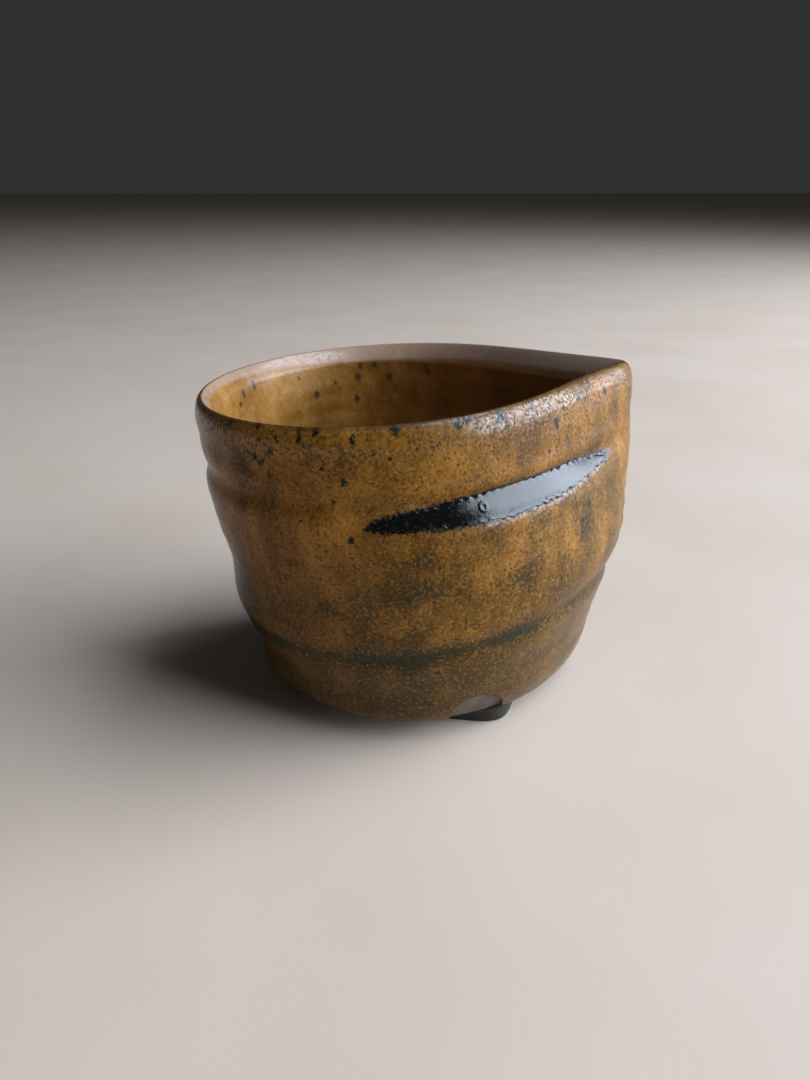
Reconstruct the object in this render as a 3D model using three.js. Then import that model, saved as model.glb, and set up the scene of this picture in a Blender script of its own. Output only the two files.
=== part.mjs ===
// Hand-formed tea bowl with one pinched lip corner: thrown clay, luted foot, glaze inside and outside.
// Millimetres, +Z up, +X toward the pinched corner, resting on z = 0.
import * as THREE from 'three';

// Rim and outer wall. Heights are "level" heights; the rim tilt is added by levelToWorld.
const RIM_HEIGHT = 89.8;
const RIM_TILT = 2.7; // the pinched side stands this much higher, the opposite side lower
const TILT_START = 15; // below this height the bowl is level
const WALL = [ // [height, radius] of the outer wall before the pinch is added
  [5, 39.0], [11, 43.0], [24, 47.2], [45, 50.2], [66, 50.6], [78, 49.2], [90, 49.0],
];
const LEAN = -13; // sideways drift of the wall's centre line from base to rim
const LEAN_BACK = -0.8;

// Pinched corner, centred on +X
const PINCH_REACH = 23.5;
const PINCH_WIDTH = 0.28; // radians over which it dies away
const PINCH_ROUNDING = 0.03; // radians, at the rim
const BASE_ROUNDING = 0.3; // radians added to it at the base
const PINCH_SPREAD = 0.5; // how much broader it is at the base
const PINCH_AT_BASE = 0.49; // share of the reach left at the base
const PINCH_THICKENING = 0.6; // keeps the walls full where they turn the corner

// Soft unevenness left by the wheel and the hands, as [height, halfHeight, amount]: SWELL leans out
// toward the pinch and in on the far side, FULLER fills the far side, SLIMMER draws in the near side.
const SWELL = [[45, 7, 0.75], [22, 10, -0.65]];
const FULLER = [[30, 8, 1.6], [7, 7, 5.2]];
const SLIMMER = [[18, 15, 2.6]];

// Throwing groove round the outside, broken by the pinched corner
const GROOVE = { height: 71, halfHeight: 2.8, depth: 1.2, cornerWidth: 0.45 };

// Slanting stroke that deepens the groove on the front: it climbs steeply at first and then levels off
const STROKE = {
  height: 69.4, climb: 3.2, climbFrom: -1.85, climbWidth: 0.4,
  angle: -1.05, halfWidth: 1, depth: 1.5, bed: 1.6, above: 3, below: 5,
};

// Shallow groove low on the wall, higher on the pinched side
const LOW_GROOVE = { height: 31.2, rise: 3.8, turn: 0.17, halfHeight: 2.6, depth: 0.55, uneven: 0.3 };

// Lip section: a rounded shoulder outside, a flat bevel inside
const RIDGE_INSET = 2.6;
const LIP_DROP = 6.5;
const BEVEL_DROP = 4.2;
const BEVEL_FLATNESS = 1.7;
const WALL_THICKNESS = 5.8; // just under the lip
const WALL_THICKENING = 1.3; // added by the bottom of the wall
const FLOOR_TURN = 30; // height where the inside wall starts curving into the floor
const FLOOR_HEIGHT = 12;
const FLOOR_SQUARENESS = 0.75;

// Glaze coats
const COAT = 0.8;
const INNER_COAT = 0.7;
const GAP = 0.3;
const GLAZE_EDGE = 6.2; // lower edge of the outer coat
const GLAZE_EDGE_WANDER = 0.4;
const FINGER_MARK = { angle: -1.33, halfWidth: 0.19, rise: 8.2 }; // bare spot left by a finger
const UNDERSIDE = 5; // the body's underside

// Foot ring, cut by hand to a square plan with rounded corners
const FOOT = {
  x: 2.8, y: -4.5, halfSide: 27.6, squareness: 6, corner: -1.15,
  height: 4.7, width: 8.5, taper: 1, edge: 0.7,
};

// Pool of thick glaze lying in the stroke
const POOL = { angle: -1.06, halfWidth: 0.76, halfHeight: 3.1, thickness: 0.45, edge: 0.25 };

const COLUMNS = 60;
const COLUMN_CROWDING = 0.35; // columns stand closer together at the pinched corner
const WALL_ROWS = [17, 23, 28, 31, 34, 39, 47, 56, 62, 65, 67, 68.5, 70, 71.5, 73, 75.5, 79];
const INNER_WALL_ROWS = [74, 60, 45];

const outerClay = { color: 0x4a3a36, roughness: 0.85, metalness: 0 };
const footClay = { color: 0x2b2320, roughness: 0.9, metalness: 0 };
const amberGlaze = { color: 0x7a4c22, roughness: 0.32, metalness: 0 };
const innerAmber = { color: 0x835426, roughness: 0.35, metalness: 0 };
const blackGlaze = { color: 0x0d0c0b, roughness: 0.12, metalness: 0 };

const clamp01 = (value) => Math.min(1, Math.max(0, value));
const wrap = (angle) => Math.atan2(Math.sin(angle), Math.cos(angle));

// Smooth curve through [height, value] knots
function throughKnots(knots, height) {
  const last = knots.length - 1;
  let k = 0;
  while (k < last - 1 && height > knots[k + 1][0]) k += 1;
  const slope = (i) => {
    const a = knots[Math.max(0, i - 1)];
    const b = knots[Math.min(last, i + 1)];
    return (b[1] - a[1]) / (b[0] - a[0]);
  };
  const span = knots[k + 1][0] - knots[k][0];
  const t = (height - knots[k][0]) / span;
  const t2 = t * t;
  const t3 = t2 * t;
  return (2 * t3 - 3 * t2 + 1) * knots[k][1] + (t3 - 2 * t2 + t) * span * slope(k)
    + (3 * t2 - 2 * t3) * knots[k + 1][1] + (t3 - t2) * span * slope(k + 1);
}

// Strength of the pinched corner, 1 at its tip on the rim
function pinchAt(angle, height) {
  const rise = clamp01(height / RIM_HEIGHT);
  const rounding = PINCH_ROUNDING + BASE_ROUNDING * (1 - rise);
  const away = Math.hypot(wrap(angle), rounding) - rounding;
  const width = PINCH_WIDTH * (1 + PINCH_SPREAD * (1 - rise));
  return (PINCH_AT_BASE + (1 - PINCH_AT_BASE) * rise ** 1.5) * Math.exp(-away / width);
}

const bell = (value) => Math.exp(-value * value);

// Sum of the soft bumps of a list at one height
function bumps(list, height) {
  const each = list.map(([middle, halfHeight, amount]) => amount * bell((height - middle) / halfHeight));
  return each.reduce((sum, value) => sum + value, 0);
}

// Wall radius before the grooves are cut
function wallRadius(angle, height) {
  const away = (1 - Math.cos(angle)) / 2;
  const toward = (1 + Math.cos(angle)) / 2;
  return throughKnots(WALL, height) + PINCH_REACH * pinchAt(angle, height)
    + Math.cos(angle) * bumps(SWELL, height) + away ** 2.5 * bumps(FULLER, height)
    - toward ** 2 * bumps(SLIMMER, height);
}

// Height of the stroke's middle line
function strokeHeight(angle) {
  return STROKE.height - STROKE.climb * Math.exp((STROKE.climbFrom - wrap(angle)) / STROKE.climbWidth);
}

// Depth of the three grooves together
function grooveDepth(angle, height) {
  const corner = 1 - bell(wrap(angle) / GROOVE.cornerWidth);
  const ring = GROOVE.depth * corner * bell((height - GROOVE.height) / GROOVE.halfHeight);
  const off = height - strokeHeight(angle) - STROKE.bed;
  const along = (wrap(angle) - STROKE.angle) / STROKE.halfWidth;
  const slope = bell(off / (off > 0 ? STROKE.above : STROKE.below));
  const stroke = STROKE.depth * Math.max(0, 1 - along ** 4) * slope;
  const lowHeight = LOW_GROOVE.height + LOW_GROOVE.rise * Math.cos(angle + LOW_GROOVE.turn);
  const low = (LOW_GROOVE.depth + LOW_GROOVE.uneven * Math.cos(angle))
    * bell((height - lowHeight) / LOW_GROOVE.halfHeight);
  return ring + stroke + low;
}

// Point `inset` mm inside the outer wall, its radius then multiplied by `share`
function wallPoint(angle, { height, inset = 0, share = 1, from = height, grooved = false }) {
  const thickening = 1 + PINCH_THICKENING * pinchAt(angle, from);
  const groove = grooved ? grooveDepth(angle, from) : 0;
  const radius = share * (wallRadius(angle, from) - (inset + groove) * thickening);
  const drift = height / RIM_HEIGHT;
  const tilt = clamp01((height - TILT_START) / (RIM_HEIGHT - TILT_START)) ** 2;
  return new THREE.Vector3(
    LEAN * drift + radius * Math.cos(angle),
    LEAN_BACK * drift + radius * Math.sin(angle),
    height + RIM_TILT * tilt * Math.cos(angle),
  );
}

// Lower edge of the outer glaze, raised where a finger held the bowl
function glazeEdge(angle) {
  const off = wrap(angle - FINGER_MARK.angle) / FINGER_MARK.halfWidth;
  const lifted = FINGER_MARK.rise * Math.sqrt(Math.max(0, 1 - off * off));
  return GLAZE_EDGE + GLAZE_EDGE_WANDER * Math.sin(3 * angle) + lifted;
}

function columnAngles() {
  return Array.from({ length: COLUMNS }, (_, i) => {
    const turn = (2 * Math.PI * i) / COLUMNS;
    return turn - COLUMN_CROWDING * Math.sin(turn);
  });
}

// Closed skin over rows of points. Open rows end in single points on the axis, ring rows join up.
function skinRows(rows, ring) {
  const columns = rows[1].length;
  const positions = [];
  const starts = rows.map((row) => {
    const start = positions.length / 3;
    row.forEach((p) => positions.push(p.x, p.y, p.z));
    return start;
  });
  const at = (r, c) => starts[r] + (rows[r].length === 1 ? 0 : c % columns);
  const faces = [];
  const spans = ring ? rows.length : rows.length - 1;
  for (let r = 0; r < spans; r += 1) {
    const next = (r + 1) % rows.length;
    for (let c = 0; c < columns; c += 1) {
      const corners = [at(r, c), at(r, c + 1), at(next, c + 1), at(next, c)];
      if (corners[0] !== corners[1]) faces.push(corners[0], corners[1], corners[2]);
      if (corners[2] !== corners[3]) faces.push(corners[0], corners[2], corners[3]);
    }
  }
  const geometry = new THREE.BufferGeometry();
  geometry.setAttribute('position', new THREE.Float32BufferAttribute(positions, 3));
  geometry.setIndex(faces);
  return geometry;
}

function rowAt(spec) {
  if (spec.share === 0) return [wallPoint(0, spec)];
  return columnAngles().map((angle) => wallPoint(angle, spec.follow ? spec.follow(angle) : spec));
}

// Rows climbing the outside of the wall, `inset` mm in, from the glaze's lower edge to the lip
function outsideRows(inset) {
  const lowest = [0, 0.5].map((part) => ({
    follow: (angle) => ({
      height: glazeEdge(angle) * (1 - part) + WALL_ROWS[0] * part, inset, grooved: true,
    }),
  }));
  const wall = WALL_ROWS.map((height) => ({ height, inset, grooved: true }));
  const lip = [0, 0.25, 0.5, 0.75].map((part) => {
    const turn = (part * Math.PI) / 2;
    return {
      height: RIM_HEIGHT - LIP_DROP + (LIP_DROP - inset) * Math.sin(turn),
      inset: RIDGE_INSET - (RIDGE_INSET - inset) * Math.cos(turn),
    };
  });
  return [...lowest, ...wall, ...lip];
}

function insideThickness(height) {
  return WALL_THICKNESS + WALL_THICKENING * clamp01((RIM_HEIGHT - height) / (RIM_HEIGHT - FLOOR_TURN));
}

// Rows going down the inside from the lip to the floor's centre, `depth` mm under the finished surface
function insideRows(depth) {
  const top = RIM_HEIGHT - BEVEL_DROP;
  const bevel = [0.72, 0.45, 0.2, 0].map((part) => {
    const turn = (part * Math.PI) / 2;
    return {
      height: top + (BEVEL_DROP - depth) * Math.sin(turn) ** BEVEL_FLATNESS,
      inset: RIDGE_INSET + (insideThickness(top) - RIDGE_INSET - depth) * Math.cos(turn) ** BEVEL_FLATNESS,
    };
  });
  const wall = INNER_WALL_ROWS.map((height) => ({ height, inset: insideThickness(height) - depth }));
  const floor = [0, 0.25, 0.5, 0.75, 1].map((part) => {
    const turn = (part * Math.PI) / 2;
    const drop = FLOOR_TURN - FLOOR_HEIGHT + depth;
    return {
      height: FLOOR_TURN - drop * Math.sin(turn) ** FLOOR_SQUARENESS,
      inset: insideThickness(FLOOR_TURN) - depth,
      share: part === 1 ? 0 : Math.cos(turn) ** FLOOR_SQUARENESS,
      from: FLOOR_TURN,
    };
  });
  return [...bevel, ...wall, ...floor];
}

// Level row at the top of the lip, between the outside and inside rows
function ridgeRow(drop, shift) {
  return { height: RIM_HEIGHT - drop, inset: RIDGE_INSET + shift };
}

function clayBody() {
  const inset = COAT + GAP;
  const underside = [
    { height: UNDERSIDE, share: 0 },
    { height: UNDERSIDE, inset, share: 0.6 },
    { height: UNDERSIDE, inset, share: 0.93 },
    { height: UNDERSIDE + 0.5, inset, share: 0.985 },
  ];
  const rows = [
    ...underside, ...outsideRows(inset), ridgeRow(inset, 0), ...insideRows(INNER_COAT + GAP),
  ];
  return skinRows(rows.map(rowAt), false);
}

function outerGlaze() {
  const face = [...outsideRows(0), ridgeRow(0, 0)];
  const back = [...outsideRows(COAT), ridgeRow(COAT, 0)].reverse();
  return skinRows([...face, ...back].map(rowAt), true);
}

function innerGlaze() {
  const face = [ridgeRow(0.05, GAP), ...insideRows(0)];
  const back = [ridgeRow(INNER_COAT + 0.1, GAP), ...insideRows(INNER_COAT)].reverse();
  return skinRows([...back, ...face].map(rowAt), false);
}

// Rounded square of half side 1, with a corner at FOOT.corner
function squarePlan(angle) {
  const turn = angle - FOOT.corner + Math.PI / 4;
  const power = FOOT.squareness;
  return (Math.abs(Math.cos(turn)) ** power + Math.abs(Math.sin(turn)) ** power) ** (-1 / power);
}

function footRing() {
  const { halfSide, height, width, taper, edge } = FOOT;
  const section = [ // [half side, height], going round the section
    [halfSide, height], [halfSide - width, height], [halfSide - width + taper, edge],
    [halfSide - width + taper + edge, 0], [halfSide - taper - edge, 0], [halfSide - taper, edge],
  ];
  const rows = section.map(([side, z]) => columnAngles().map((angle) => {
    const radius = side * squarePlan(angle);
    return new THREE.Vector3(FOOT.x + radius * Math.cos(angle), FOOT.y + radius * Math.sin(angle), z);
  }));
  return skinRows(rows, true);
}

// Lens of glaze along the stroke, thickest in the middle and thin at its rounded outline. It bridges
// the stroke, so that its face runs straight from one edge to the other.
function glazePool() {
  const stations = 24;
  const across = [-1, -0.75, -0.4, 0, 0.4, 0.75, 1];
  const rows = [];
  for (let s = 0; s <= stations; s += 1) {
    const along = (2 * s) / stations - 1;
    const angle = POOL.angle + POOL.halfWidth * along;
    const half = POOL.halfHeight * (1 - along * along) ** 0.6;
    const heightAt = (t) => strokeHeight(angle) + half * t;
    const surface = (t) => wallRadius(angle, heightAt(t)) - grooveDepth(angle, heightAt(t));
    const point = (t, lift) => wallPoint(angle, { height: heightAt(t), inset: -GAP - lift, grooved: true });
    const faceLift = (t) => {
      const straight = surface(-1) + ((surface(1) - surface(-1)) * (t + 1)) / 2;
      const lens = POOL.edge + (POOL.thickness - POOL.edge) * (1 - t * t);
      return Math.max(0, straight - surface(t)) + lens;
    };
    if (s === 0 || s === stations) {
      rows.push([point(0, POOL.edge / 2)]);
    } else {
      const back = across.map((t) => point(t, 0));
      const face = [...across].reverse().map((t) => point(t, faceLift(t)));
      rows.push([...back, ...face]);
    }
  }
  return skinRows(rows, false);
}

function namedMesh(name, geometry, finish) {
  geometry.computeVertexNormals();
  const mesh = new THREE.Mesh(geometry, new THREE.MeshStandardMaterial(finish));
  mesh.name = name;
  return mesh;
}

function centreOverOrigin(group) {
  const centre = new THREE.Box3().setFromObject(group).getCenter(new THREE.Vector3());
  group.children.forEach((mesh) => mesh.geometry.translate(-centre.x, -centre.y, 0));
}

const bowl = new THREE.Group();
bowl.name = 'tea_bowl';
bowl.add(
  namedMesh('clay_body', clayBody(), outerClay),
  namedMesh('foot_ring', footRing(), footClay),
  namedMesh('outer_glaze', outerGlaze(), amberGlaze),
  namedMesh('inner_glaze', innerGlaze(), innerAmber),
  namedMesh('glaze_pool', glazePool(), blackGlaze),
);
centreOverOrigin(bowl);

export default bowl;
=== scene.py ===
"""The tea bowl's finished surfaces, floor, light and camera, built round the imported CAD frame."""
import math
import bpy
import numpy as np
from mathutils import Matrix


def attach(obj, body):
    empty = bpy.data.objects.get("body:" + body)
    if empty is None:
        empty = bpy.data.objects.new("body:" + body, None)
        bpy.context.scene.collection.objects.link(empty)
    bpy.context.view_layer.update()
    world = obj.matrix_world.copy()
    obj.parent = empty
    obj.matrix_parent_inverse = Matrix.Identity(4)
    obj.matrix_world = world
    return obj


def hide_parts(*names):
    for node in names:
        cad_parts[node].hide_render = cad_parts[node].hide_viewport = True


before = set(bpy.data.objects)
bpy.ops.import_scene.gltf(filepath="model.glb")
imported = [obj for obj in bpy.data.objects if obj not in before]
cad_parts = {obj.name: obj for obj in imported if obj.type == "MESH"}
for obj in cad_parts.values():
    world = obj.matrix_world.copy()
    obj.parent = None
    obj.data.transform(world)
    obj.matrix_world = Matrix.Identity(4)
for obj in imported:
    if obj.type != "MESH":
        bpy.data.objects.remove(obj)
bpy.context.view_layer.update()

# The pot's own axis stands here in the part's frame. Shapes are in millimetres up to make_skin.
AXIS = (0.51, 0.5)
MM = 0.001

# Rim and outer wall, as in the CAD part
RIM_HEIGHT = 89.8
RIM_TILT = 2.7
TILT_START = 15
WALL_HEIGHTS = np.array([5, 11, 24, 45, 66, 78, 90.0])
WALL_RADII = np.array([39.0, 43.0, 47.2, 50.2, 50.6, 49.2, 49.0])
LEAN = -13
LEAN_BACK = -0.8
PINCH_REACH = 23.5
PINCH_WIDTH = 0.28
PINCH_ROUNDING = 0.03
BASE_ROUNDING = 0.3
PINCH_SPREAD = 0.5
PINCH_AT_BASE = 0.49
PINCH_THICKENING = 0.6

# The main groove, broken by the pinched corner, and the low groove, higher on the pinched side
GROOVE = {"height": 71, "half_height": 2.8, "depth": 1.2, "corner_width": 0.45}
LOW_GROOVE = {"height": 31.2, "rise": 3.8, "turn": 0.17, "half_height": 2.6, "depth": 0.55, "uneven": 0.3}

# Slanting stroke that deepens the main groove on the front: steep at first, then level
STROKE = {"height": 69.4, "climb": 3.2, "climb_from": -1.85, "climb_width": 0.4,
          "angle": -1.05, "half_width": 1.0, "depth": 1.5, "bed": 1.6, "above": 2.0, "below": 5.0}

# Pool of thick glaze in the stroke, and how far its dark stain spreads into the coat round it
POOL = {"angle": -1.03, "half_width": 0.73, "half_height": 3.1}
POOL_STAIN = {"angle": -1.03, "half_width": 0.84, "half_height": 3.5, "softness": 3.2}
BUBBLE = {"angle": -70.8, "height": 69, "radius": 0.85, "rim": 0.13}

# Lip and inside
RIDGE_INSET = 2.6
LIP_DROP = 6.5
BEVEL_DROP = 4.2
BEVEL_FLATNESS = 1.7
WALL_THICKNESS = 5.8
WALL_THICKENING = 1.3
FLOOR_TURN = 30
FLOOR_HEIGHT = 12
FLOOR_SQUARENESS = 0.75

# Glaze coats and foot
COAT = 0.8
INNER_COAT = 0.7
UNDERSIDE = 5
GLAZE_EDGE = 6.2
FINGER_MARK = {"angle": -1.33, "half_width": 0.19, "rise": 8.2}
FOOT = {"x": 2.8, "y": -4.5, "half_side": 27.6, "squareness": 6, "corner": -1.15,
        "width": 8.5, "taper": 1, "edge": 0.7}

# The camera: where it stands from the pot's axis, in mm, and how it is turned
CAMERA_PLACE = (-35.75, -217.04, 137.7)
CAMERA_TURN = 8.0
CAMERA_PITCH = 23.78
FOCAL_PER_FRAME_HEIGHT = 811 / 1080

COLUMN_CROWDING = 0.35
ARC_RADIUS = 52  # mean radius used to turn angles into distances over the wall

# Marks in the outer glaze: (angle in degrees, height, half width, half height, strength)
SMUDGES = [
    (-35, 55, 3.5, 3.5, 0.55), (-61, 50.5, 4.5, 3.5, 0.6), (-92, 58, 5, 1.5, 0.5), (-92, 50, 7, 4, 0.6),
    (-81, 49, 3, 2, 0.5), (-130, 51.5, 4, 1.8, 0.5), (-106, 47, 3, 2, 0.3), (-139, 80, 4, 4, 0.75),
    (-119, 45, 4, 2.5, 0.3), (-52, 62, 5, 3, 0.2), (-80, 40, 6, 3, 0.25), (-42, 21, 5, 2, 0.4),
]
SPECKS = [
    (-141.7, 89.3, 0.7), (-130.7, 89.3, 0.8), (-130, 86.3, 0.6), (-124.5, 87.2, 0.8), (-126.9, 83.9, 1),
    (-132.5, 82, 0.9), (-131.3, 80.6, 0.8), (-129.6, 81.4, 0.7), (-123.9, 82.5, 0.5),
    (-117.3, 89.2, 0.7), (-117.4, 87.3, 0.9), (-112.7, 89, 1), (-102.8, 87.2, 1.2), (-99.3, 87.4, 0.5),
    (-91.8, 88.9, 1.1), (-98.4, 84.2, 0.7), (-94.1, 82.9, 0.6), (-112, 80.9, 0.7), (-107, 77.5, 0.9),
    (-128.8, 78.1, 0.7), (-110.8, 72.5, 0.8), (-109.2, 84.7, 0.5), (-40.6, 82.9, 1.4),
    (-81.2, 84.8, 0.7), (-45.5, 66.4, 0.6), (-37, 63.9, 0.5), (-30.5, 60.2, 0.8), (-14.5, 85.2, 1),
    (-74.8, 88.4, 1.2), (-61.8, 88.2, 1.3), (-49.2, 88.4, 1), (-28.2, 87.2, 1), (-20.2, 88.2, 0.8),
    (-72.3, 89.3, 1), (-107.5, 63.7, 0.8), (-35, 57.5, 0.6), (-90, 26, 0.7), (-86, 56, 0.5),
]
INNER_SPECKS = [
    (94, 80.5, 1.5), (80.5, 80, 1.5), (95.5, 73.5, 1.3), (143.5, 83, 1.4), (64, 82.7, 1.4), (92, 84, 1.1),
    (151, 81.5, 1), (113, 76, 1.2), (86, 84.5, 1.1), (120, 82, 0.8), (104, 79, 0.8), (155, 79, 0.9),
]


def smooth_step(value):
    t = np.clip(value, 0, 1)
    return t * t * (3 - 2 * t)


def bell(value):
    return np.exp(-np.square(value))


def wrap(angle):
    return np.arctan2(np.sin(angle), np.cos(angle))


def waves(angle, height, seed, count, turns, length):
    """Seeded unevenness, about -1 to 1: at most `turns` waves round the pot, each over `length` mm high."""
    rng = np.random.default_rng(seed)
    total = np.zeros(np.broadcast(angle, height).shape)
    for _ in range(count):
        around = rng.integers(-turns, turns + 1)
        up = rng.uniform(-1, 1) * 2 * np.pi / length
        total = total + np.sin(around * angle + up * height + rng.uniform(0, 2 * np.pi))
    return total * math.sqrt(2 / count) * 0.6


def through_knots(height):
    """The wall's radius before the pinch, on a smooth curve through the named knots."""
    z, r = WALL_HEIGHTS, WALL_RADII
    slope = np.gradient(r, z)
    slope[1:-1] = (r[2:] - r[:-2]) / (z[2:] - z[:-2])
    k = np.clip(np.searchsorted(z, height) - 1, 0, len(z) - 2)
    span = z[k + 1] - z[k]
    t = (height - z[k]) / span
    return ((2 * t**3 - 3 * t**2 + 1) * r[k] + (t**3 - 2 * t**2 + t) * span * slope[k]
            + (3 * t**2 - 2 * t**3) * r[k + 1] + (t**3 - t**2) * span * slope[k + 1])


def pinch_at(angle, height):
    rise = np.clip(height / RIM_HEIGHT, 0, 1)
    rounding = PINCH_ROUNDING + BASE_ROUNDING * (1 - rise)
    away = np.hypot(wrap(angle), rounding) - rounding
    width = PINCH_WIDTH * (1 + PINCH_SPREAD * (1 - rise))
    return (PINCH_AT_BASE + (1 - PINCH_AT_BASE) * rise**1.5) * np.exp(-away / width)


def stroke_height(angle):
    """Height of the stroke's middle line."""
    climbed = (STROKE["climb_from"] - wrap(angle)) / STROKE["climb_width"]
    return STROKE["height"] - STROKE["climb"] * np.exp(climbed)


def low_groove_height(angle):
    return LOW_GROOVE["height"] + LOW_GROOVE["rise"] * np.cos(angle + LOW_GROOVE["turn"])


def groove_depth(angle, height):
    """Depth of the two grooves and the stroke together."""
    corner = 1 - bell(wrap(angle) / GROOVE["corner_width"])
    ring = GROOVE["depth"] * corner * bell((height - GROOVE["height"]) / GROOVE["half_height"])
    off = height - stroke_height(angle) - STROKE["bed"]
    along = (wrap(angle) - STROKE["angle"]) / STROKE["half_width"]
    slope = bell(off / np.where(off > 0, STROKE["above"], STROKE["below"]))
    stroke = STROKE["depth"] * np.clip(1 - along**4, 0, 1) * slope
    low_off = (height - low_groove_height(angle)) / LOW_GROOVE["half_height"]
    low = (LOW_GROOVE["depth"] + LOW_GROOVE["uneven"] * np.cos(angle)) * bell(low_off)
    return ring + stroke + low


def skew(angle, height):
    """Uneven throwing: the foot end is fuller on the left and drawn in below the pinch."""
    left, right = (1 - np.cos(angle)) / 2, (1 + np.cos(angle)) / 2
    swell = np.cos(angle) * (0.75 * bell((height - 45) / 7) - 0.65 * bell((height - 22) / 10))
    fuller = left**2.5 * (1.6 * bell((height - 30) / 8) + 5.2 * bell((height - 7) / 7))
    return swell + fuller - 2.6 * right**2 * bell((height - 18) / 15)


def wall_radius(angle, height):
    """Wall radius before the grooves are cut."""
    return through_knots(height) + PINCH_REACH * pinch_at(angle, height) + skew(angle, height)


def wall_point(angle, height, inset=0.0, share=1.0, source=None):
    """Points `inset` mm inside the outer wall, their radius then multiplied by `share`."""
    source = height if source is None else source
    thickening = 1 + PINCH_THICKENING * pinch_at(angle, source)
    radius = share * (wall_radius(angle, source) - inset * thickening)
    drift = height / RIM_HEIGHT
    tilt = np.clip((height - TILT_START) / (RIM_HEIGHT - TILT_START), 0, 1) ** 2
    x = AXIS[0] + LEAN * drift + radius * np.cos(angle)
    y = AXIS[1] + LEAN_BACK * drift + radius * np.sin(angle)
    return np.stack(np.broadcast_arrays(x, y, height + RIM_TILT * tilt * np.cos(angle)), axis=-1)


def columns(count):
    """Angles round the pot, closer together at the pinched corner."""
    turn = 2 * np.pi * np.arange(count) / count
    return turn - COLUMN_CROWDING * np.sin(turn)


def throwing_rings(angle, height, seed):
    """Radial unevenness left by the wheel and the hands, in mm."""
    drift = waves(angle, height, seed, 10, 2, 60)
    rings = np.sin(2 * np.pi * (height / 5.6 + angle / (2 * np.pi)) + 1.6 * drift)
    strength = 0.5 + 0.5 * waves(angle, height, seed + 1, 14, 4, 30)
    dents = waves(angle, height, seed + 2, 16, 4, 36)
    fine = waves(angle, height, seed + 3, 40, 26, 5)
    return 0.1 * rings * strength + 0.28 * dents + 0.045 * fine


def glaze_edge(angle):
    off = wrap(angle - FINGER_MARK["angle"]) / FINGER_MARK["half_width"]
    lifted = FINGER_MARK["rise"] * np.sqrt(np.clip(1 - off * off, 0, 1))
    return GLAZE_EDGE + 0.4 * np.sin(3 * angle) + lifted


def make_skin(name, rows, ring, marks=None):
    """Closed mesh over rows of points in mm. Rows of one point close an end; ring rows join up."""
    count = max(len(row) for row in rows)
    starts = np.cumsum([0] + [len(row) for row in rows])
    faces = []
    column = np.arange(count)
    following = (column + 1) % count
    for r in range(len(rows) if ring else len(rows) - 1):
        n = (r + 1) % len(rows)
        if len(rows[r]) == 1:
            faces.extend(zip(starts[r] + 0 * column, starts[n] + following, starts[n] + column))
        elif len(rows[n]) == 1:
            faces.extend(zip(starts[r] + column, starts[r] + following, starts[n] + 0 * column))
        else:
            faces.extend(zip(starts[r] + column, starts[r] + following,
                             starts[n] + following, starts[n] + column))
    mesh = bpy.data.meshes.new(name)
    mesh.from_pydata((np.concatenate(rows) * MM).tolist(), [], [tuple(map(int, f)) for f in faces])
    for mark, values in (marks or {}).items():
        layer = mesh.attributes.new(mark, "FLOAT", "POINT")
        layer.data.foreach_set("value", np.concatenate(values).astype(np.float32))
    mesh.shade_smooth()
    piece = bpy.data.objects.new(name, mesh)
    bpy.context.scene.collection.objects.link(piece)
    return piece


def outside_rows(angle, inset, steps, relief):
    """[(height, inset)] rows from the glaze's lower edge to the ridge of the lip."""
    top = RIM_HEIGHT - LIP_DROP
    low = glaze_edge(angle)
    rows = []
    for part in np.linspace(0, 1, steps):
        height = low + (top - low) * part
        rows.append((height, inset + groove_depth(angle, height) - relief(angle, height)))
    for part in np.linspace(0, 1, max(3, steps // 9))[1:]:
        turn = part * np.pi / 2
        height = top + (LIP_DROP - inset) * math.sin(turn)
        across = RIDGE_INSET - (RIDGE_INSET - inset) * math.cos(turn)
        rows.append((height, across - relief(angle, height) * math.cos(turn)))
    return rows


def inside_thickness(height):
    return WALL_THICKNESS + WALL_THICKENING * np.clip((RIM_HEIGHT - height) / (RIM_HEIGHT - FLOOR_TURN), 0, 1)


def inside_points(angle, depth, steps, relief):
    """Rows of points from the ridge down the inside to the floor's centre."""
    top = RIM_HEIGHT - BEVEL_DROP
    rows = []
    for part in np.linspace(1, 0, max(3, steps // 6)):
        turn = part * np.pi / 2
        height = top + (BEVEL_DROP - depth) * math.sin(turn) ** BEVEL_FLATNESS
        width = inside_thickness(top) - RIDGE_INSET - depth
        across = RIDGE_INSET + width * math.cos(turn) ** BEVEL_FLATNESS
        rows.append(wall_point(angle, height, across + relief(angle, height) * math.cos(turn)))
    for height in np.linspace(top, FLOOR_TURN, steps)[1:]:
        rows.append(wall_point(angle, height, inside_thickness(height) - depth + relief(angle, height)))
    for part in np.linspace(0, 1, steps // 2)[1:]:
        turn = part * np.pi / 2
        height = FLOOR_TURN - (FLOOR_TURN - FLOOR_HEIGHT + depth) * math.sin(turn) ** FLOOR_SQUARENESS
        across = inside_thickness(FLOOR_TURN) - depth + relief(angle, height)
        share = max(0.0, math.cos(turn)) ** FLOOR_SQUARENESS
        points = wall_point(angle, height, across, share, FLOOR_TURN)
        rows.append(points if part < 1 else points[:1])
    return rows


def outer_relief(angle, height):
    return throwing_rings(angle, height, 11)


def inner_relief(angle, height):
    return throwing_rings(angle, height, 47)


def flat_relief(angle, height):
    return 0 * angle


def arc_distance(angle, height, place, level):
    """Distance in mm over the wall from a place given in degrees and a level."""
    return wrap(angle - math.radians(place)) * ARC_RADIUS, height - level


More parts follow.
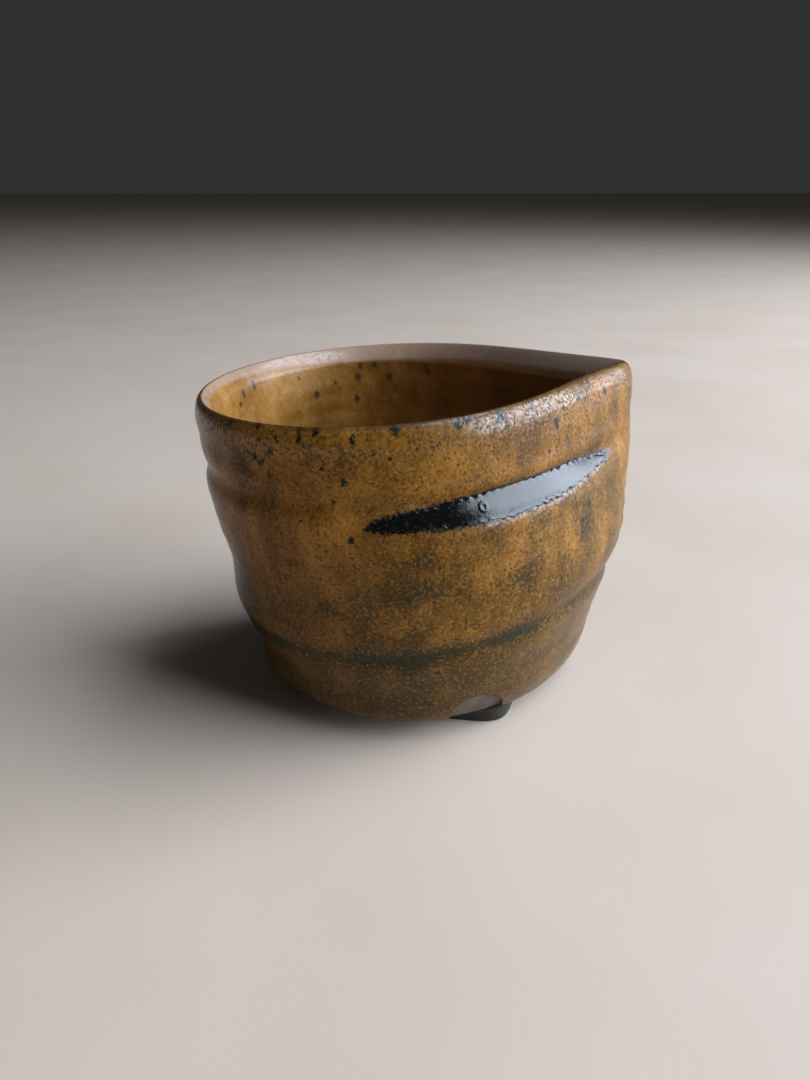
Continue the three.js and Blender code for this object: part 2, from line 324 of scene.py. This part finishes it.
def smudge_mark(angle, height):
    total = 0 * angle
    for place, level, wide, tall, strength in SMUDGES:
        across, up = arc_distance(angle, height, place, level)
        total = total + strength * bell(np.hypot(across / wide, up / tall))
    low = height - low_groove_height(angle)
    broken = 0.72 + 0.28 * waves(angle, 0 * height, 61, 6, 14, 50)
    line = np.clip(broken, 0, 1) * bell(low / np.where(low > 0, 1.9, 2.8))
    drips = bell((wrap(angle) + 1.68) / 0.11) * smooth_step((low + 13) / 12) * (low < 0)
    return np.clip(total + line + 0.7 * drips, 0, 1)


def speck_mark(angle, height, specks):
    total = 0 * angle
    for place, level, radius in specks:
        across, up = arc_distance(angle, height, place, level)
        total = np.maximum(total, bell(np.hypot(across, up * 0.85) / (1.4 * radius)))
    return total


def stain_half_height(angle):
    along = (wrap(angle) - POOL_STAIN["angle"]) / POOL_STAIN["half_width"]
    return POOL_STAIN["half_height"] * np.clip(1 - along**2, 0, 1) ** 0.6


def pool_mark(angle, height):
    """1 in the middle of the pool's stain, 0.5 at its edge, 0 well clear of it."""
    half = stain_half_height(angle)
    across = np.abs(height - stroke_height(angle)) - half
    return np.clip(0.5 - across / POOL_STAIN["softness"], 0, 1) * smooth_step(half / 1.8)


def build_outer_glaze():
    angle = columns(520)
    face = outside_rows(angle, 0, 124, outer_relief)
    back = outside_rows(angle, COAT, 34, flat_relief)[::-1]
    rows = [wall_point(angle, height, inset) for height, inset in face + back]
    heights = [height + 0 * angle for height, _ in face + back]
    marks = {
        "smudge": [smudge_mark(angle, h) for h in heights],
        "speck": [speck_mark(angle, h, SPECKS) for h in heights],
        "pool": [pool_mark(angle, h) for h in heights],
        "level": [h / RIM_HEIGHT for h in heights],
    }
    return make_skin("outer_glaze_skin", rows, True, marks)


def build_inner_glaze():
    angle = columns(512)
    face = inside_points(angle, 0, 64, inner_relief)
    back = inside_points(angle, INNER_COAT, 24, flat_relief)[::-1]
    rows = back + face
    marks = {"speck": [], "level": []}
    for row in rows:
        height = row[:, 2]
        marks["speck"].append(speck_mark(angle[:len(row)], height, INNER_SPECKS))
        marks["level"].append(height / RIM_HEIGHT)
    return make_skin("inner_glaze_skin", rows, False, marks)


def build_clay_body():
    angle = columns(256)
    inset = COAT + 0.1
    under = [wall_point(angle[:1], UNDERSIDE, inset, 0.0)]
    for share, height in ((0.4, 5.0), (0.6, 5.0), (0.8, 5.0), (0.93, 5.0), (0.985, 5.5)):
        under.append(wall_point(angle, height, inset, share))
    outside = [wall_point(angle, h, i) for h, i in outside_rows(angle, inset, 60, flat_relief)]
    inside = inside_points(angle, INNER_COAT + 0.1, 24, flat_relief)
    return make_skin("clay_body_skin", under + outside + inside[1:], False)


def square_plan(angle):
    """Rounded square of half side 1, with a corner at FOOT's corner angle."""
    turn = angle - FOOT["corner"] + np.pi / 4
    power = FOOT["squareness"]
    return (np.abs(np.cos(turn)) ** power + np.abs(np.sin(turn)) ** power) ** (-1 / power)


def build_foot_ring():
    angle = columns(360)
    outer, taper, edge = FOOT["half_side"], FOOT["taper"], FOOT["edge"]
    height = UNDERSIDE + 0.2  # luted to the body
    inner = outer - FOOT["width"]
    middle = (outer + inner) / 2
    outline = [  # (half side, height), going round the ring's section
        (outer, height), (middle, height), (inner, height), (inner + taper, edge),
        (inner + taper + edge * 0.3, edge * 0.3), (inner + taper + edge, 0), (middle, 0),
        (outer - taper - edge, 0), (outer - taper - edge * 0.3, edge * 0.3), (outer - taper, edge),
        (outer - taper * 0.7, height * 0.4), (outer - taper * 0.3, height * 0.7),
    ]
    section = []
    for side, z in outline:
        cut = 0.25 * waves(angle, z, 71, 18, 14, 8) * (z > 0)
        radius = side * square_plan(angle) + cut
        section.append(np.stack([AXIS[0] + FOOT["x"] + radius * np.cos(angle),
                                 AXIS[1] + FOOT["y"] + radius * np.sin(angle), z + 0 * angle], axis=-1))
    return make_skin("foot_ring_skin", section, True)


def pool_bubble(angle, height):
    """The rim of a burst bubble in the pool, in mm."""
    across, up = arc_distance(angle, height, BUBBLE["angle"], BUBBLE["height"])
    return BUBBLE["rim"] * bell((np.hypot(across, up) - BUBBLE["radius"]) / 0.3)


def build_glaze_pool():
    """A meniscus that bridges the stroke: it thins toward its outline."""
    along = np.linspace(-1, 1, 261)[1:-1]
    angle = POOL["angle"] + POOL["half_width"] * along
    half = POOL["half_height"] * (1 - along**2) ** 0.6
    ragged = 0.4 * waves(angle, 0 * angle, 93, 40, 150, 5)
    middle = stroke_height(angle)
    lower, upper = (wall_radius(angle, edge) - groove_depth(angle, edge)
                    for edge in (middle - half, middle + half))
    faces, backs = [], []
    for t in np.linspace(1, -1, 45):
        height = middle + half * t + ragged * t**7
        depth = groove_depth(angle, height)
        bridge = lower + (upper - lower) * (t + 1) / 2 - wall_radius(angle, height) + depth
        lens = np.maximum(bridge, 0) + 0.12 * (1 - t * t) + 0.25 * (1 - t) + pool_bubble(angle, height)
        relief = outer_relief(angle, height)
        faces.append(wall_point(angle, height, depth + 0.05 - relief - lens))
        backs.append(wall_point(angle, height, depth + 0.6 - relief))
    grid = np.stack(faces + backs[::-1])
    rows = [grid[:, i] for i in range(grid.shape[1])]
    caps = [rows[0].mean(axis=0, keepdims=True), rows[-1].mean(axis=0, keepdims=True)]
    return make_skin("glaze_pool_skin", [caps[0]] + rows + [caps[1]], False)


class Nodes:
    """Short calls for building one material's nodes."""

    def __init__(self, name):
        self.material = bpy.data.materials.new(name)
        self.material.use_nodes = True
        self.tree = self.material.node_tree
        self.shader = self.tree.nodes["Principled BSDF"]
        self.place = self.tree.nodes.new("ShaderNodeTexCoord").outputs["Object"]

    def plug(self, socket, value):
        if isinstance(value, bpy.types.NodeSocket):
            self.tree.links.new(value, socket)
        else:
            socket.default_value = value

    def math(self, operation, *values, clamp=False):
        node = self.tree.nodes.new("ShaderNodeMath")
        node.operation = operation
        node.use_clamp = clamp
        for socket, value in zip(node.inputs, values):
            self.plug(socket, value)
        return node.outputs[0]

    def stretch(self, scale):
        node = self.tree.nodes.new("ShaderNodeVectorMath")
        node.operation = "MULTIPLY"
        self.plug(node.inputs[0], self.place)
        node.inputs[1].default_value = scale
        return node.outputs[0]

    def across(self):
        """Place along the bowl's X axis, in metres, towards the pinched corner."""
        node = self.tree.nodes.new("ShaderNodeSeparateXYZ")
        self.plug(node.inputs[0], self.place)
        return node.outputs["X"]

    def noise(self, size_mm, detail=2.0, vector=None, roughness=0.5):
        node = self.tree.nodes.new("ShaderNodeTexNoise")
        self.plug(node.inputs["Vector"], vector or self.place)
        node.inputs["Scale"].default_value = 1 / (size_mm * MM)
        node.inputs["Detail"].default_value = detail
        node.inputs["Roughness"].default_value = roughness
        return node.outputs["Fac"]

    def mark(self, name):
        node = self.tree.nodes.new("ShaderNodeAttribute")
        node.attribute_name = name
        return node.outputs["Fac"]

    def step(self, value, low, high):
        node = self.tree.nodes.new("ShaderNodeMapRange")
        node.interpolation_type = "SMOOTHSTEP"
        self.plug(node.inputs["Value"], value)
        self.plug(node.inputs["From Min"], low)
        self.plug(node.inputs["From Max"], high)
        return node.outputs["Result"]

    def ramp(self, value, stops):
        node = self.tree.nodes.new("ShaderNodeValToRGB")
        while len(node.color_ramp.elements) < len(stops):
            node.color_ramp.elements.new(0.5)
        for element, (position, colour) in zip(node.color_ramp.elements, stops):
            element.position = position
            element.color = (*colour, 1)
        self.plug(node.inputs["Fac"], value)
        return node.outputs["Color"]

    def blend(self, factor, first, second):
        node = self.tree.nodes.new("ShaderNodeMix")
        node.data_type = "RGBA"
        self.plug(node.inputs[0], factor)
        for socket, value in ((node.inputs[6], first), (node.inputs[7], second)):
            self.plug(socket, (*value, 1) if isinstance(value, tuple) else value)
        return node.outputs[2]

    def bump(self, height, distance_mm, strength=1.0):
        node = self.tree.nodes.new("ShaderNodeBump")
        node.inputs["Distance"].default_value = distance_mm * MM
        self.plug(node.inputs["Strength"], strength)
        self.plug(node.inputs["Height"], height)
        self.plug(self.shader.inputs["Normal"], node.outputs["Normal"])

    def finish(self, colour, roughness):
        self.plug(self.shader.inputs["Base Color"], colour)
        self.plug(self.shader.inputs["Roughness"], roughness)
        return self.material


def weighted(nodes, pairs):
    total = None
    for value, weight in pairs:
        part = nodes.math("MULTIPLY", value, weight)
        total = part if total is None else nodes.math("ADD", total, part)
    return total


def amber_glaze():
    n = Nodes("amber_glaze_finish")
    mottle = n.noise(24, 3)
    wash = n.noise(7, 4, n.stretch((1, 1, 0.6)))
    tone = weighted(n, ((mottle, 0.5), (wash, 0.5)))
    colour = n.ramp(tone, (
        (0.38, (0.115, 0.046, 0.005)), (0.47, (0.19, 0.08, 0.009)),
        (0.55, (0.28, 0.118, 0.015)), (0.64, (0.38, 0.168, 0.026))))
    # The glaze is darker towards the bottom, with a wavy edge from the wash.
    depth = n.math("ADD", n.mark("level"), n.math("MULTIPLY", n.math("SUBTRACT", wash, 0.5), 0.35))
    colour = n.blend(n.math("MULTIPLY", n.step(depth, 0.85, 0.15), 0.75), colour, (0.042, 0.026, 0.005))
    grain = n.noise(0.85, 4, roughness=0.8)
    tan = n.step(grain, 0.46, 0.36)
    colour = n.blend(n.math("MULTIPLY", tan, 0.4), colour, (0.5, 0.27, 0.08))
    patches = n.step(n.noise(11, 3), 0.45, 0.75)
    density = weighted(n, ((patches, 0.3), (n.mark("smudge"), 0.9)))
    threshold = n.math("SUBTRACT", 0.54, n.math("MULTIPLY", density, 0.15))
    iron = n.step(grain, threshold, n.math("ADD", threshold, 0.07))
    colour = n.blend(n.math("MULTIPLY", iron, 0.8), colour, (0.02, 0.021, 0.006))
    haze = n.math("MULTIPLY", n.step(density, 0.15, 1.0), 0.75)
    colour = n.blend(haze, colour, (0.02, 0.021, 0.007))
    ragged = n.math("SUBTRACT", n.noise(0.9, 3, roughness=0.75), 0.5)
    dots = n.step(n.noise(2.2, 1), 0.75, 0.79)
    speck = n.step(n.math("ADD", n.mark("speck"), n.math("MULTIPLY", ragged, 1.6)), 0.55, 0.8)
    speck = n.math("MULTIPLY", n.math("MAXIMUM", speck, dots), n.step(grain, 0.25, 0.45))
    colour = n.blend(speck, colour, (0.01, 0.016, 0.007))
    rim = n.step(n.math("ADD", n.mark("level"), n.math("MULTIPLY", ragged, 0.012)), 0.986, 0.999)
    colour = n.blend(n.math("MULTIPLY", rim, 0.6), colour, (0.04, 0.02, 0.008))
    pool = n.step(n.math("ADD", n.mark("pool"), n.math("MULTIPLY", ragged, 1.5)), 0.4, 0.6)
    colour = n.blend(pool, colour, (0.003, 0.004, 0.003))
    wet = n.math("MAXIMUM", n.step(n.mark("level"), 0.9, 0.96), n.step(n.mark("pool"), 0.0, 0.4))
    n.plug(n.shader.inputs["Coat Weight"], n.math("MULTIPLY", wet, n.step(grain, 0.57, 0.42)))
    n.shader.inputs["Coat Roughness"].default_value = 0.18
    n.shader.inputs["Specular IOR Level"].default_value = 0.16
    n.bump(grain, 0.3, 0.6)
    return n.finish(colour, n.math("ADD", 0.08, n.math("MULTIPLY", grain, 0.25)))


def inner_glaze():
    n = Nodes("inner_glaze_finish")
    fine = n.noise(1.6, 4, roughness=0.7)
    tone = weighted(n, ((n.noise(18, 3), 0.4), (n.noise(5, 3, n.stretch((1, 1, 0.4))), 0.3), (fine, 0.3)))
    colour = n.ramp(tone, (
        (0.36, (0.165, 0.068, 0.01)), (0.48, (0.27, 0.12, 0.022)), (0.62, (0.4, 0.195, 0.048))))
    grain = n.noise(1.3, 3, roughness=0.75)
    iron = n.step(grain, 0.66, 0.72)
    colour = n.blend(n.math("MULTIPLY", iron, 0.6), colour, (0.04, 0.03, 0.01))
    ragged = n.math("MULTIPLY", n.math("SUBTRACT", grain, 0.5), 1.2)
    speck = n.step(n.math("ADD", n.mark("speck"), ragged), 0.45, 0.95)
    colour = n.blend(n.math("MULTIPLY", speck, 0.9), colour, (0.02, 0.028, 0.014))
    # Painted shade: the inside darkens towards the pinched corner (+X), the side the lamps don't reach.
    colour = n.blend(n.math("MULTIPLY", n.step(n.across(), 0.0, 0.045), 0.6), colour, (0.02, 0.025, 0.008))
    # Painted sheen: the inner bevel is blended to a pale pink, standing in for the reflection of the light
    # above; its coat is real gloss.
    bevel_sheen = n.step(n.mark("level"), 0.945, 0.96)
    colour = n.blend(n.math("MULTIPLY", bevel_sheen, 0.5), colour, (0.48, 0.35, 0.28))
    n.plug(n.shader.inputs["Coat Weight"], n.math("MULTIPLY", bevel_sheen, n.step(grain, 0.6, 0.4)))
    n.shader.inputs["Coat Roughness"].default_value = 0.12
    n.bump(fine, 0.25, 0.5)
    return n.finish(colour, n.math("ADD", 0.2, n.math("MULTIPLY", fine, 0.25)))


def bare_clay():
    n = Nodes("bare_clay_finish")
    grain = n.noise(0.5, 3)
    tone = weighted(n, ((grain, 0.5), (n.noise(5, 2), 0.5)))
    colour = n.ramp(tone, ((0.35, (0.085, 0.062, 0.048)), (0.65, (0.18, 0.137, 0.105))))
    n.bump(grain, 0.15, 0.7)
    return n.finish(colour, 0.8)


def foot_clay():
    n = Nodes("shaded_foot_finish")
    grain = n.noise(0.6, 3)
    # Painted shade: the foot is coloured near black for the shade under the body's overhang.
    colour = n.ramp(grain, ((0.35, (0.012, 0.013, 0.009)), (0.7, (0.045, 0.04, 0.03))))
    n.bump(grain, 0.2, 0.8)
    return n.finish(colour, 0.85)


def black_glaze():
    n = Nodes("black_glaze_finish")
    beads = n.noise(0.8, 4, roughness=0.75)
    crusted = n.step(beads, 0.53, 0.62)
    colour = n.blend(crusted, (0.003, 0.004, 0.003), (0.02, 0.016, 0.01))
    n.bump(beads, 0.1, 0.5)
    return n.finish(colour, n.math("ADD", 0.03, n.math("MULTIPLY", crusted, 0.15)))


def floor_finish():
    n = Nodes("floor_finish")
    colour = n.ramp(n.noise(90, 3), ((0.3, (0.64, 0.51, 0.4)), (0.7, (0.69, 0.56, 0.45))))
    n.bump(n.noise(1.2, 2), 0.1, 0.3)
    return n.finish(colour, 0.6)


def place_pieces():
    pieces = (
        (build_outer_glaze(), "outer_glaze", "amber_glaze", amber_glaze()),
        (build_inner_glaze(), "inner_glaze", "inner_glaze", inner_glaze()),
        (build_clay_body(), "clay_body", "body_clay", bare_clay()),
        (build_foot_ring(), "foot_ring", "foot_clay", foot_clay()),
        (build_glaze_pool(), "glaze_pool", "black_glaze", black_glaze()),
    )
    for piece, node, slot, material in pieces:
        piece.data.materials.append(material)
        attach(piece, "root")
        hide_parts(node)


def build_floor():
    mesh = bpy.data.meshes.new("floor")
    reach = 12
    corners = [(-reach, -reach, 0), (reach, -reach, 0), (reach, reach, 0), (-reach, reach, 0)]
    mesh.from_pydata(corners, [], [(0, 1, 2, 3)])
    floor = bpy.data.objects.new("floor", mesh)
    floor.data.materials.append(floor_finish())
    bpy.context.scene.collection.objects.link(floor)


def soft_light(name, azimuth, elevation, distance, size, radiance, colour):
    """A soft box aimed at the bowl, given by its brightness. Azimuth 0 is towards -Y, 90 towards +X."""
    data = bpy.data.lights.new(name, "AREA")
    data.shape = "RECTANGLE"
    data.size, data.size_y = size
    data.energy = radiance * math.pi * size[0] * size[1]
    data.color = colour
    light = bpy.data.objects.new(name, data)
    a, e = math.radians(azimuth), math.radians(elevation)
    away = (math.sin(a) * math.cos(e), -math.cos(a) * math.cos(e), math.sin(e))
    light.location = [distance * part for part in away]
    light.location.z += 0.05
    light.rotation_euler = (math.pi / 2 - e, 0, a)
    light.visible_camera = False
    bpy.context.scene.collection.objects.link(light)


def light_stage():
    soft_light("window", 77, 24, 1.6, (1.9, 1.25), 9.0, (0.75, 0.85, 1.0))
    soft_light("ceiling", 80, 65, 2.0, (1.7, 0.8), 5.0, (0.72, 0.83, 1.0))
    world = bpy.data.worlds.new("studio")
    world.use_nodes = True
    background = world.node_tree.nodes["Background"]
    background.inputs["Color"].default_value = (0.72, 0.76, 0.78, 1)
    background.inputs["Strength"].default_value = 0.04
    bpy.context.scene.world = world


def place_camera():
    data = bpy.data.cameras.new("camera")
    data.sensor_width = 36
    data.lens = 36 * FOCAL_PER_FRAME_HEIGHT
    data.clip_start = 0.01
    camera = bpy.data.objects.new("camera", data)
    x, y, z = CAMERA_PLACE
    camera.location = ((x + AXIS[0]) * MM, (y + AXIS[1]) * MM, z * MM)
    camera.rotation_euler = (math.radians(90 - CAMERA_PITCH), 0, math.radians(-CAMERA_TURN))
    bpy.context.scene.collection.objects.link(camera)
    bpy.context.scene.camera = camera


place_pieces()
build_floor()
light_stage()
place_camera()
bpy.context.scene.view_settings.view_transform = "Standard"
